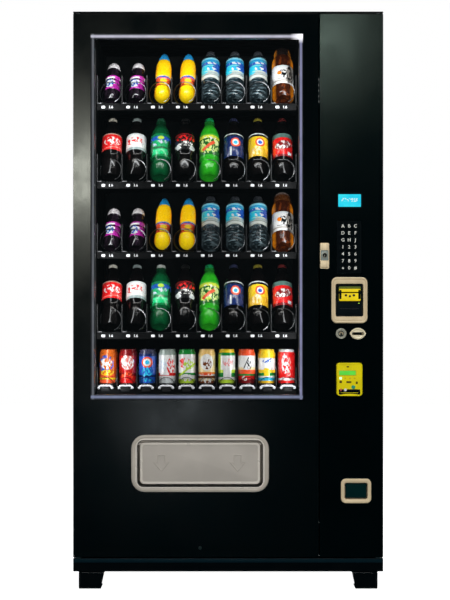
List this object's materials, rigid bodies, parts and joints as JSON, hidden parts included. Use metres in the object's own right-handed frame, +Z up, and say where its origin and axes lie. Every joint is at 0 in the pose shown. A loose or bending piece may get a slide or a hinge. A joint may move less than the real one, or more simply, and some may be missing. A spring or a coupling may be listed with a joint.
{
  "type": "glass-front bottle and can vending machine",
  "caption": "Free-standing refrigerated vending machine with a lit glass door, product trays with spirals, a payment column with keypad, and a delivery flap.",
  "frame": {"origin": "on the floor, at the middle of the machine's footprint", "axes": "+Z up, +Y from the front to the back, +X to the right when facing the machine"},
  "size_m": [0.982, 0.89, 1.829],
  "materials": {
    "black_steel": "satin",
    "grey_steel": "satin",
    "liner_plastic": "matte",
    "door_core_plastic": "matte",
    "tray_steel": "satin",
    "spiral_wire": "polished",
    "pin_steel": "satin",
    "coil_aluminium": "satin",
    "compressor_enamel": "gloss",
    "fan_plastic": "satin",
    "window_glass": "polished",
    "lit_trim": "gloss",
    "gasket_rubber": "matte",
    "champagne_bezel": "satin",
    "champagne_plate": "satin",
    "display_face": "gloss",
    "keypad_black": "satin",
    "key_black": "satin",
    "beige_bezel": "satin",
    "validator_yellow": "gloss",
    "button_metal": "satin",
    "coin_metal": "satin",
    "reader_yellow": "gloss",
    "flap_teal": "gloss",
    "goods": "gloss",
    "tag_white": "matte",
    "clip_white": "satin"
  },
  "bodies": {
    "cabinet": {"base_frame": "black_steel", "cabinet_shell": "black_steel", "rear_panel": "grey_steel", "inner_liner": "liner_plastic", "hinge_pins": "pin_steel", "compressor": "compressor_enamel", "condenser_coil": "coil_aluminium", "evaporator_coil": "coil_aluminium"},
    "glass_door": {"door_frame": "black_steel", "door_core": "door_core_plastic", "window_glass": "window_glass", "window_trim": "lit_trim", "door_gasket": "gasket_rubber", "delivery_port": "champagne_bezel"},
    "control_door": {"control_panel": "black_steel", "display": "display_face", "keypad_plate": "keypad_black", "lock_plate": "champagne_plate", "bill_bezel": "beige_bezel", "bill_validator": "validator_yellow", "coin_mechanism": "coin_metal", "card_reader": "reader_yellow", "coin_cup": "beige_bezel"},
    "delivery_flap": {"delivery_flap": "champagne_bezel"},
    "coin_flap": {"coin_flap": "flap_teal"},
    "latch_handle": {"latch_handle": "champagne_plate"},
    "coin_button": {"coin_button": "button_metal"},
    "condenser_fan": {"condenser_fan": "fan_plastic"},
    "evaporator_fan": {"evaporator_fan": "fan_plastic"},
    "tray_1": {"tray_1": "tray_steel", "spirals_1": "spiral_wire"},
    "tray_2": {"tray_2": "tray_steel", "spirals_2": "spiral_wire"},
    "tray_3": {"tray_3": "tray_steel", "spirals_3": "spiral_wire"},
    "tray_4": {"tray_4": "tray_steel", "spirals_4": "spiral_wire"},
    "tray_5": {"tray_5": "tray_steel", "spirals_5": "spiral_wire"},
    "key_a": {"key_a": "key_black"},
    "key_b": {"key_b": "key_black"},
    "key_c": {"key_c": "key_black"},
    "key_d": {"key_d": "key_black"},
    "key_e": {"key_e": "key_black"},
    "key_f": {"key_f": "key_black"},
    "key_g": {"key_g": "key_black"},
    "key_h": {"key_h": "key_black"},
    "key_j": {"key_j": "key_black"},
    "key_1": {"key_1": "key_black"},
    "key_2": {"key_2": "key_black"},
    "key_3": {"key_3": "key_black"},
    "key_4": {"key_4": "key_black"},
    "key_5": {"key_5": "key_black"},
    "key_6": {"key_6": "key_black"},
    "key_7": {"key_7": "key_black"},
    "key_8": {"key_8": "key_black"},
    "key_9": {"key_9": "key_black"},
    "key_star": {"key_star": "key_black"},
    "key_0": {"key_0": "key_black"},
    "key_hash": {"key_hash": "key_black"}
  },
  "joints": [
    {"name": "glass_door_swing", "type": "hinge", "parent": "cabinet", "child": "glass_door", "pos_m": [-0.475, -0.405, 0.9], "axis": [0, 0, -1], "range_deg": [0, 110]},
    {"name": "control_door_swing", "type": "hinge", "parent": "cabinet", "child": "control_door", "pos_m": [0.475, -0.405, 0.9], "axis": [0, 0, 1], "range_deg": [0, 110]},
    {"name": "delivery_flap_swing", "type": "hinge", "parent": "glass_door", "child": "delivery_flap", "pos_m": [-0.089, -0.414, 0.4588], "axis": [1, 0, 0], "range_deg": [0, 60]},
    {"name": "coin_flap_swing", "type": "hinge", "parent": "control_door", "child": "coin_flap", "pos_m": [0.4049, -0.414, 0.3285], "axis": [1, 0, 0], "range_deg": [0, 60]},
    {"name": "latch_handle_turn", "type": "hinge", "parent": "control_door", "child": "latch_handle", "pos_m": [0.3052, -0.42, 1.0554], "axis": [0, 1, 0], "range_deg": [0, 90]},
    {"name": "coin_button_press", "type": "slide", "parent": "control_door", "child": "coin_button", "axis": [0, 1, 0], "range_m": [0, 0.006], "stiffness_N_per_m": 300},
    {"name": "condenser_fan_spin", "type": "hinge", "parent": "cabinet", "child": "condenser_fan", "pos_m": [0.06, -0.18, 0.1795], "axis": [0, 1, 0], "continuous": true},
    {"name": "evaporator_fan_spin", "type": "hinge", "parent": "cabinet", "child": "evaporator_fan", "pos_m": [-0.1, 0.16, 0.445], "axis": [0, 1, 0], "continuous": true},
    {"name": "tray_1_slide", "type": "slide", "parent": "cabinet", "child": "tray_1", "axis": [0, -1, 0], "range_m": [0, 0.085]},
    {"name": "tray_2_slide", "type": "slide", "parent": "cabinet", "child": "tray_2", "axis": [0, -1, 0], "range_m": [0, 0.085]},
    {"name": "tray_3_slide", "type": "slide", "parent": "cabinet", "child": "tray_3", "axis": [0, -1, 0], "range_m": [0, 0.085]},
    {"name": "tray_4_slide", "type": "slide", "parent": "cabinet", "child": "tray_4", "axis": [0, -1, 0], "range_m": [0, 0.085]},
    {"name": "tray_5_slide", "type": "slide", "parent": "cabinet", "child": "tray_5", "axis": [0, -1, 0], "range_m": [0, 0.085]},
    {"name": "key_a_press", "type": "slide", "parent": "control_door", "child": "key_a", "axis": [0, 1, 0], "range_m": [0, 0.002], "stiffness_N_per_m": 300},
    {"name": "key_b_press", "type": "slide", "parent": "control_door", "child": "key_b", "axis": [0, 1, 0], "range_m": [0, 0.002], "stiffness_N_per_m": 300},
    {"name": "key_c_press", "type": "slide", "parent": "control_door", "child": "key_c", "axis": [0, 1, 0], "range_m": [0, 0.002], "stiffness_N_per_m": 300},
    {"name": "key_d_press", "type": "slide", "parent": "control_door", "child": "key_d", "axis": [0, 1, 0], "range_m": [0, 0.002], "stiffness_N_per_m": 300},
    {"name": "key_e_press", "type": "slide", "parent": "control_door", "child": "key_e", "axis": [0, 1, 0], "range_m": [0, 0.002], "stiffness_N_per_m": 300},
    {"name": "key_f_press", "type": "slide", "parent": "control_door", "child": "key_f", "axis": [0, 1, 0], "range_m": [0, 0.002], "stiffness_N_per_m": 300},
    {"name": "key_g_press", "type": "slide", "parent": "control_door", "child": "key_g", "axis": [0, 1, 0], "range_m": [0, 0.002], "stiffness_N_per_m": 300},
    {"name": "key_h_press", "type": "slide", "parent": "control_door", "child": "key_h", "axis": [0, 1, 0], "range_m": [0, 0.002], "stiffness_N_per_m": 300},
    {"name": "key_j_press", "type": "slide", "parent": "control_door", "child": "key_j", "axis": [0, 1, 0], "range_m": [0, 0.002], "stiffness_N_per_m": 300},
    {"name": "key_1_press", "type": "slide", "parent": "control_door", "child": "key_1", "axis": [0, 1, 0], "range_m": [0, 0.002], "stiffness_N_per_m": 300},
    {"name": "key_2_press", "type": "slide", "parent": "control_door", "child": "key_2", "axis": [0, 1, 0], "range_m": [0, 0.002], "stiffness_N_per_m": 300},
    {"name": "key_3_press", "type": "slide", "parent": "control_door", "child": "key_3", "axis": [0, 1, 0], "range_m": [0, 0.002], "stiffness_N_per_m": 300},
    {"name": "key_4_press", "type": "slide", "parent": "control_door", "child": "key_4", "axis": [0, 1, 0], "range_m": [0, 0.002], "stiffness_N_per_m": 300},
    {"name": "key_5_press", "type": "slide", "parent": "control_door", "child": "key_5", "axis": [0, 1, 0], "range_m": [0, 0.002], "stiffness_N_per_m": 300},
    {"name": "key_6_press", "type": "slide", "parent": "control_door", "child": "key_6", "axis": [0, 1, 0], "range_m": [0, 0.002], "stiffness_N_per_m": 300},
    {"name": "key_7_press", "type": "slide", "parent": "control_door", "child": "key_7", "axis": [0, 1, 0], "range_m": [0, 0.002], "stiffness_N_per_m": 300},
    {"name": "key_8_press", "type": "slide", "parent": "control_door", "child": "key_8", "axis": [0, 1, 0], "range_m": [0, 0.002], "stiffness_N_per_m": 300},
    {"name": "key_9_press", "type": "slide", "parent": "control_door", "child": "key_9", "axis": [0, 1, 0], "range_m": [0, 0.002], "stiffness_N_per_m": 300},
    {"name": "key_star_press", "type": "slide", "parent": "control_door", "child": "key_star", "axis": [0, 1, 0], "range_m": [0, 0.002], "stiffness_N_per_m": 300},
    {"name": "key_0_press", "type": "slide", "parent": "control_door", "child": "key_0", "axis": [0, 1, 0], "range_m": [0, 0.002], "stiffness_N_per_m": 300},
    {"name": "key_hash_press", "type": "slide", "parent": "control_door", "child": "key_hash", "axis": [0, 1, 0], "range_m": [0, 0.002], "stiffness_N_per_m": 300}
  ]
}
